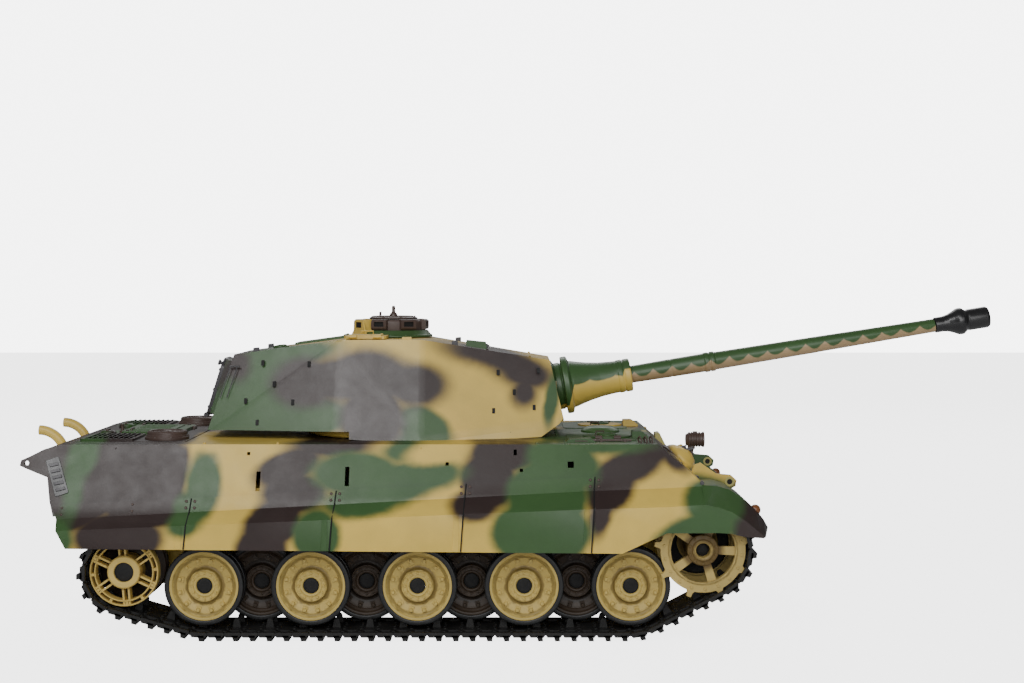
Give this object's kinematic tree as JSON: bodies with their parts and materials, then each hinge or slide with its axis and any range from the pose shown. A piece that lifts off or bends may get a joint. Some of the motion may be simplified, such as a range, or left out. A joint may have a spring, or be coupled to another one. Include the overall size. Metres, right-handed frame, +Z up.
{
  "type": "radio-controlled model tank",
  "caption": "Tracked radio-controlled model tank: long camouflaged hull with side skirts, interleaved road wheels, faceted turret and a long elevating gun.",
  "frame": {"origin": "on the ground, under the middle of the model's length and width", "axes": "+X forwards along the hull and gun, +Y to the model's left, +Z up"},
  "size_m": [0.6375, 0.236, 0.2038],
  "materials": {
    "camo_hull": "semi-gloss three-colour camouflage paint on moulded plastic",
    "camo_turret": "semi-gloss three-colour camouflage paint on moulded plastic",
    "sand_wheels": "satin sand-yellow paint on moulded plastic, with moulded bolt detail",
    "track_rubber": "near-black moulded links, matt with worn edges",
    "black_plastic": "glossy black plastic",
    "brown_fittings": "satin chocolate-brown paint on moulded plastic",
    "exhaust_sand": "satin sand-yellow paint on moulded plastic",
    "steel": "satin steel",
    "circuit_board": "green solder mask",
    "battery_wrap": "shrink-wrapped pack"
  },
  "bodies": {
    "hull": {"lower_hull": "camo_hull", "upper_hull": "camo_hull", "rear_plate": "exhaust_sand", "engine_deck": "camo_hull", "side_skirt_right": "camo_hull", "side_skirt_left": "camo_hull", "headlight": "brown_fittings", "track_right": "track_rubber", "track_left": "track_rubber", "twin_gearbox": "black_plastic", "battery_pack": "battery_wrap", "control_board": "circuit_board"},
    "turret": {"turret_shell": "camo_turret", "cupola": "camo_turret"},
    "gun": {"gun_mantlet": "camo_turret"},
    "barrel": {"gun_barrel": "camo_turret", "muzzle_brake": "black_plastic"},
    "cupola_hatch": {"cupola_hatch": "camo_turret"},
    "loader_hatch": {"loader_hatch": "camo_turret"},
    "rear_hatch": {"rear_hatch": "brown_fittings"},
    "sprocket_right": {"drive_sprocket_right": "sand_wheels"},
    "idler_right": {"idler_wheel_right": "sand_wheels"},
    "arm_right_1": {"swing_arm_right_1": "steel"},
    "wheel_right_1": {"road_wheel_right_1": "sand_wheels"},
    "arm_right_2": {"swing_arm_right_2": "steel"},
    "wheel_right_2": {"road_wheel_right_2": "sand_wheels"},
    "arm_right_3": {"swing_arm_right_3": "steel"},
    "wheel_right_3": {"road_wheel_right_3": "sand_wheels"},
    "arm_right_4": {"swing_arm_right_4": "steel"},
    "wheel_right_4": {"road_wheel_right_4": "sand_wheels"},
    "arm_right_5": {"swing_arm_right_5": "steel"},
    "wheel_right_5": {"road_wheel_right_5": "sand_wheels"},
    "arm_right_6": {"swing_arm_right_6": "steel"},
    "wheel_right_6": {"road_wheel_right_6": "sand_wheels"},
    "arm_right_7": {"swing_arm_right_7": "steel"},
    "wheel_right_7": {"road_wheel_right_7": "sand_wheels"},
    "arm_right_8": {"swing_arm_right_8": "steel"},
    "wheel_right_8": {"road_wheel_right_8": "sand_wheels"},
    "arm_right_9": {"swing_arm_right_9": "steel"},
    "wheel_right_9": {"road_wheel_right_9": "sand_wheels"},
    "sprocket_left": {"drive_sprocket_left": "sand_wheels"},
    "idler_left": {"idler_wheel_left": "sand_wheels"},
    "arm_left_1": {"swing_arm_left_1": "steel"},
    "wheel_left_1": {"road_wheel_left_1": "sand_wheels"},
    "arm_left_2": {"swing_arm_left_2": "steel"},
    "wheel_left_2": {"road_wheel_left_2": "sand_wheels"},
    "arm_left_3": {"swing_arm_left_3": "steel"},
    "wheel_left_3": {"road_wheel_left_3": "sand_wheels"},
    "arm_left_4": {"swing_arm_left_4": "steel"},
    "wheel_left_4": {"road_wheel_left_4": "sand_wheels"},
    "arm_left_5": {"swing_arm_left_5": "steel"},
    "wheel_left_5": {"road_wheel_left_5": "sand_wheels"},
    "arm_left_6": {"swing_arm_left_6": "steel"},
    "wheel_left_6": {"road_wheel_left_6": "sand_wheels"},
    "arm_left_7": {"swing_arm_left_7": "steel"},
    "wheel_left_7": {"road_wheel_left_7": "sand_wheels"},
    "arm_left_8": {"swing_arm_left_8": "steel"},
    "wheel_left_8": {"road_wheel_left_8": "sand_wheels"},
    "arm_left_9": {"swing_arm_left_9": "steel"},
    "wheel_left_9": {"road_wheel_left_9": "sand_wheels"}
  },
  "joints": [
    {"name": "turret_traverse", "type": "hinge", "parent": "hull", "child": "turret", "pos_m": [-0.0796, 0, 0.119], "axis": [0, 0, 1], "range_deg": [-160, 160]},
    {"name": "gun_elevation", "type": "hinge", "parent": "turret", "child": "gun", "pos_m": [0.0144, 0, 0.1475], "axis": [0, -1, 0], "range_deg": [-12, 5.8]},
    {"name": "barrel_recoil", "type": "slide", "parent": "gun", "child": "barrel", "axis": [-0.9871, 0, -0.1602], "range_m": [0, 0.006], "stiffness_N_per_m": 150, "springref_m": -0.012},
    {"name": "cupola_hatch_swivel", "type": "hinge", "parent": "turret", "child": "cupola_hatch", "pos_m": [-0.0981, 0.016, 0.195], "axis": [0, 0, 1], "range_deg": [0, 110]},
    {"name": "loader_hatch_hinge", "type": "hinge", "parent": "turret", "child": "loader_hatch", "pos_m": [-0.0996, -0.0365, 0.1844], "axis": [1, 0, 0], "range_deg": [0, 100]},
    {"name": "rear_hatch_hinge", "type": "hinge", "parent": "turret", "child": "rear_hatch", "pos_m": [-0.20806, 0, 0.1314], "axis": [0, -1, 0], "range_deg": [0, 85]},
    {"name": "sprocket_right_spin", "type": "hinge", "parent": "hull", "child": "sprocket_right", "pos_m": [0.1137, -0.088, 0.0554], "axis": [0, 1, 0], "continuous": true},
    {"name": "idler_right_spin", "type": "hinge", "parent": "hull", "child": "idler_right", "pos_m": [-0.2425, -0.088, 0.0415], "axis": [0, 1, 0], "continuous": true},
    {"name": "arm_right_1_swing", "type": "hinge", "parent": "hull", "child": "arm_right_1", "pos_m": [-0.1771, -0.065, 0.036], "axis": [0, 1, 0], "range_deg": [0, 16], "stiffness_Nm_per_rad": 0.03, "springref_deg": -22.92},
    {"name": "wheel_right_1_spin", "type": "hinge", "parent": "arm_right_1", "child": "wheel_right_1", "pos_m": [-0.1941, -0.0926, 0.032], "axis": [0, 1, 0], "continuous": true},
    {"name": "arm_right_2_swing", "type": "hinge", "parent": "hull", "child": "arm_right_2", "pos_m": [-0.1441, -0.065, 0.036], "axis": [0, 1, 0], "range_deg": [0, 16], "stiffness_Nm_per_rad": 0.03, "springref_deg": -22.92},
    {"name": "wheel_right_2_spin", "type": "hinge", "parent": "arm_right_2", "child": "wheel_right_2", "pos_m": [-0.1611, -0.0756, 0.032], "axis": [0, 1, 0], "continuous": true},
    {"name": "arm_right_3_swing", "type": "hinge", "parent": "hull", "child": "arm_right_3", "pos_m": [-0.1111, -0.065, 0.036], "axis": [0, 1, 0], "range_deg": [0, 16], "stiffness_Nm_per_rad": 0.03, "springref_deg": -22.92},
    {"name": "wheel_right_3_spin", "type": "hinge", "parent": "arm_right_3", "child": "wheel_right_3", "pos_m": [-0.1281, -0.0926, 0.032], "axis": [0, 1, 0], "continuous": true},
    {"name": "arm_right_4_swing", "type": "hinge", "parent": "hull", "child": "arm_right_4", "pos_m": [-0.0781, -0.065, 0.036], "axis": [0, 1, 0], "range_deg": [0, 16], "stiffness_Nm_per_rad": 0.03, "springref_deg": -22.92},
    {"name": "wheel_right_4_spin", "type": "hinge", "parent": "arm_right_4", "child": "wheel_right_4", "pos_m": [-0.0951, -0.0756, 0.032], "axis": [0, 1, 0], "continuous": true},
    {"name": "arm_right_5_swing", "type": "hinge", "parent": "hull", "child": "arm_right_5", "pos_m": [-0.0451, -0.065, 0.036], "axis": [0, 1, 0], "range_deg": [0, 16], "stiffness_Nm_per_rad": 0.03, "springref_deg": -22.92},
    {"name": "wheel_right_5_spin", "type": "hinge", "parent": "arm_right_5", "child": "wheel_right_5", "pos_m": [-0.0621, -0.0926, 0.032], "axis": [0, 1, 0], "continuous": true},
    {"name": "arm_right_6_swing", "type": "hinge", "parent": "hull", "child": "arm_right_6", "pos_m": [-0.0121, -0.065, 0.036], "axis": [0, 1, 0], "range_deg": [0, 16], "stiffness_Nm_per_rad": 0.03, "springref_deg": -22.92},
    {"name": "wheel_right_6_spin", "type": "hinge", "parent": "arm_right_6", "child": "wheel_right_6", "pos_m": [-0.0291, -0.0756, 0.032], "axis": [0, 1, 0], "continuous": true},
    {"name": "arm_right_7_swing", "type": "hinge", "parent": "hull", "child": "arm_right_7", "pos_m": [0.0209, -0.065, 0.036], "axis": [0, 1, 0], "range_deg": [0, 16], "stiffness_Nm_per_rad": 0.03, "springref_deg": -22.92},
    {"name": "wheel_right_7_spin", "type": "hinge", "parent": "arm_right_7", "child": "wheel_right_7", "pos_m": [0.0039, -0.0926, 0.032], "axis": [0, 1, 0], "continuous": true},
    {"name": "arm_right_8_swing", "type": "hinge", "parent": "hull", "child": "arm_right_8", "pos_m": [0.0539, -0.065, 0.036], "axis": [0, 1, 0], "range_deg": [0, 16], "stiffness_Nm_per_rad": 0.03, "springref_deg": -22.92},
    {"name": "wheel_right_8_spin", "type": "hinge", "parent": "arm_right_8", "child": "wheel_right_8", "pos_m": [0.0369, -0.0756, 0.032], "axis": [0, 1, 0], "continuous": true},
    {"name": "arm_right_9_swing", "type": "hinge", "parent": "hull", "child": "arm_right_9", "pos_m": [0.0869, -0.065, 0.036], "axis": [0, 1, 0], "range_deg": [0, 16], "stiffness_Nm_per_rad": 0.03, "springref_deg": -22.92},
    {"name": "wheel_right_9_spin", "type": "hinge", "parent": "arm_right_9", "child": "wheel_right_9", "pos_m": [0.0699, -0.0926, 0.032], "axis": [0, 1, 0], "continuous": true},
    {"name": "sprocket_left_spin", "type": "hinge", "parent": "hull", "child": "sprocket_left", "pos_m": [0.1137, 0.088, 0.0554], "axis": [0, 1, 0], "continuous": true},
    {"name": "idler_left_spin", "type": "hinge", "parent": "hull", "child": "idler_left", "pos_m": [-0.2425, 0.088, 0.0415], "axis": [0, 1, 0], "continuous": true},
    {"name": "arm_left_1_swing", "type": "hinge", "parent": "hull", "child": "arm_left_1", "pos_m": [-0.1771, 0.065, 0.036], "axis": [0, 1, 0], "range_deg": [0, 16], "stiffness_Nm_per_rad": 0.03, "springref_deg": -22.92},
    {"name": "wheel_left_1_spin", "type": "hinge", "parent": "arm_left_1", "child": "wheel_left_1", "pos_m": [-0.1941, 0.0926, 0.032], "axis": [0, 1, 0], "continuous": true},
    {"name": "arm_left_2_swing", "type": "hinge", "parent": "hull", "child": "arm_left_2", "pos_m": [-0.1441, 0.065, 0.036], "axis": [0, 1, 0], "range_deg": [0, 16], "stiffness_Nm_per_rad": 0.03, "springref_deg": -22.92},
    {"name": "wheel_left_2_spin", "type": "hinge", "parent": "arm_left_2", "child": "wheel_left_2", "pos_m": [-0.1611, 0.0756, 0.032], "axis": [0, 1, 0], "continuous": true},
    {"name": "arm_left_3_swing", "type": "hinge", "parent": "hull", "child": "arm_left_3", "pos_m": [-0.1111, 0.065, 0.036], "axis": [0, 1, 0], "range_deg": [0, 16], "stiffness_Nm_per_rad": 0.03, "springref_deg": -22.92},
    {"name": "wheel_left_3_spin", "type": "hinge", "parent": "arm_left_3", "child": "wheel_left_3", "pos_m": [-0.1281, 0.0926, 0.032], "axis": [0, 1, 0], "continuous": true},
    {"name": "arm_left_4_swing", "type": "hinge", "parent": "hull", "child": "arm_left_4", "pos_m": [-0.0781, 0.065, 0.036], "axis": [0, 1, 0], "range_deg": [0, 16], "stiffness_Nm_per_rad": 0.03, "springref_deg": -22.92},
    {"name": "wheel_left_4_spin", "type": "hinge", "parent": "arm_left_4", "child": "wheel_left_4", "pos_m": [-0.0951, 0.0756, 0.032], "axis": [0, 1, 0], "continuous": true},
    {"name": "arm_left_5_swing", "type": "hinge", "parent": "hull", "child": "arm_left_5", "pos_m": [-0.0451, 0.065, 0.036], "axis": [0, 1, 0], "range_deg": [0, 16], "stiffness_Nm_per_rad": 0.03, "springref_deg": -22.92},
    {"name": "wheel_left_5_spin", "type": "hinge", "parent": "arm_left_5", "child": "wheel_left_5", "pos_m": [-0.0621, 0.0926, 0.032], "axis": [0, 1, 0], "continuous": true},
    {"name": "arm_left_6_swing", "type": "hinge", "parent": "hull", "child": "arm_left_6", "pos_m": [-0.0121, 0.065, 0.036], "axis": [0, 1, 0], "range_deg": [0, 16], "stiffness_Nm_per_rad": 0.03, "springref_deg": -22.92},
    {"name": "wheel_left_6_spin", "type": "hinge", "parent": "arm_left_6", "child": "wheel_left_6", "pos_m": [-0.0291, 0.0756, 0.032], "axis": [0, 1, 0], "continuous": true},
    {"name": "arm_left_7_swing", "type": "hinge", "parent": "hull", "child": "arm_left_7", "pos_m": [0.0209, 0.065, 0.036], "axis": [0, 1, 0], "range_deg": [0, 16], "stiffness_Nm_per_rad": 0.03, "springref_deg": -22.92},
    {"name": "wheel_left_7_spin", "type": "hinge", "parent": "arm_left_7", "child": "wheel_left_7", "pos_m": [0.0039, 0.0926, 0.032], "axis": [0, 1, 0], "continuous": true},
    {"name": "arm_left_8_swing", "type": "hinge", "parent": "hull", "child": "arm_left_8", "pos_m": [0.0539, 0.065, 0.036], "axis": [0, 1, 0], "range_deg": [0, 16], "stiffness_Nm_per_rad": 0.03, "springref_deg": -22.92},
    {"name": "wheel_left_8_spin", "type": "hinge", "parent": "arm_left_8", "child": "wheel_left_8", "pos_m": [0.0369, 0.0756, 0.032], "axis": [0, 1, 0], "continuous": true},
    {"name": "arm_left_9_swing", "type": "hinge", "parent": "hull", "child": "arm_left_9", "pos_m": [0.0869, 0.065, 0.036], "axis": [0, 1, 0], "range_deg": [0, 16], "stiffness_Nm_per_rad": 0.03, "springref_deg": -22.92},
    {"name": "wheel_left_9_spin", "type": "hinge", "parent": "arm_left_9", "child": "wheel_left_9", "pos_m": [0.0699, 0.0926, 0.032], "axis": [0, 1, 0], "continuous": true}
  ],
  "couplings": [
    {"joint": "idler_right_spin", "follows": "sprocket_right_spin", "ratio": 1.1857},
    {"joint": "wheel_right_1_spin", "follows": "sprocket_right_spin", "ratio": 1.2334},
    {"joint": "wheel_right_2_spin", "follows": "sprocket_right_spin", "ratio": 1.2334},
    {"joint": "wheel_right_3_spin", "follows": "sprocket_right_spin", "ratio": 1.2334},
    {"joint": "wheel_right_4_spin", "follows": "sprocket_right_spin", "ratio": 1.2334},
    {"joint": "wheel_right_5_spin", "follows": "sprocket_right_spin", "ratio": 1.2334},
    {"joint": "wheel_right_6_spin", "follows": "sprocket_right_spin", "ratio": 1.2334},
    {"joint": "wheel_right_7_spin", "follows": "sprocket_right_spin", "ratio": 1.2334},
    {"joint": "wheel_right_8_spin", "follows": "sprocket_right_spin", "ratio": 1.2334},
    {"joint": "wheel_right_9_spin", "follows": "sprocket_right_spin", "ratio": 1.2334},
    {"joint": "idler_left_spin", "follows": "sprocket_left_spin", "ratio": 1.1857},
    {"joint": "wheel_left_1_spin", "follows": "sprocket_left_spin", "ratio": 1.2334},
    {"joint": "wheel_left_2_spin", "follows": "sprocket_left_spin", "ratio": 1.2334},
    {"joint": "wheel_left_3_spin", "follows": "sprocket_left_spin", "ratio": 1.2334},
    {"joint": "wheel_left_4_spin", "follows": "sprocket_left_spin", "ratio": 1.2334},
    {"joint": "wheel_left_5_spin", "follows": "sprocket_left_spin", "ratio": 1.2334},
    {"joint": "wheel_left_6_spin", "follows": "sprocket_left_spin", "ratio": 1.2334},
    {"joint": "wheel_left_7_spin", "follows": "sprocket_left_spin", "ratio": 1.2334},
    {"joint": "wheel_left_8_spin", "follows": "sprocket_left_spin", "ratio": 1.2334},
    {"joint": "wheel_left_9_spin", "follows": "sprocket_left_spin", "ratio": 1.2334}
  ]
}
